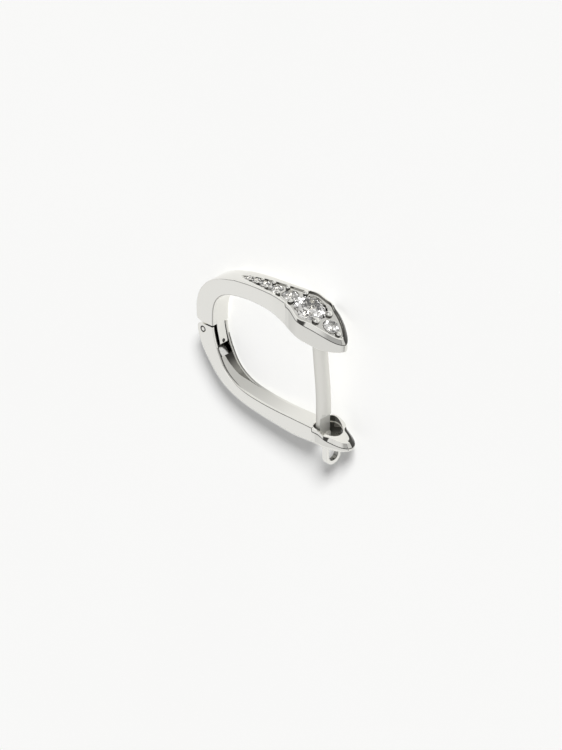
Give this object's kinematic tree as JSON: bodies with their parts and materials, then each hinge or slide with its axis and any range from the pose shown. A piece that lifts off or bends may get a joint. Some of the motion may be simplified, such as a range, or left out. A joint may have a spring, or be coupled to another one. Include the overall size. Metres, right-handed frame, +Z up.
{
  "type": "hoop earring",
  "caption": "Hinged hoop earring whose upper arm ends in a pointed drop-shaped head set with clear stones; an ear post snaps into the lower arm.",
  "frame": {"origin": "under the middle of the bounding box, on the surface that the earring lies on", "axes": "+X runs from the hinge towards the pointed ends, +Y from the lower arm towards the upper arm with the stones, and +Z is up, across the band, as the earring lies on its side"},
  "size_m": [0.014, 0.0114, 0.0034],
  "materials": {
    "plated_metal": "cast silver, mirror polished and rhodium plated",
    "spring_steel": "rolled spring steel strip",
    "clear_stone": "clear round brilliants, faceted and polished"
  },
  "bodies": {
    "front": {"front_arm": "plated_metal", "centre_stone": "clear_stone", "tip_stone": "clear_stone", "band_stone_1": "clear_stone", "band_stone_2": "clear_stone", "band_stone_3": "clear_stone", "band_stone_4": "clear_stone", "band_stone_5": "clear_stone"},
    "back": {"back_arm": "plated_metal", "hinge_pin": "plated_metal", "snap_spring": "spring_steel"}
  },
  "joints": [
    {"name": "hoop_hinge", "type": "hinge", "parent": "front", "child": "back", "pos_m": [-0.00621, -0.00025, 0.00086], "axis": [0.0641, 0.0582, -0.9962], "range_deg": [0, 35]}
  ]
}
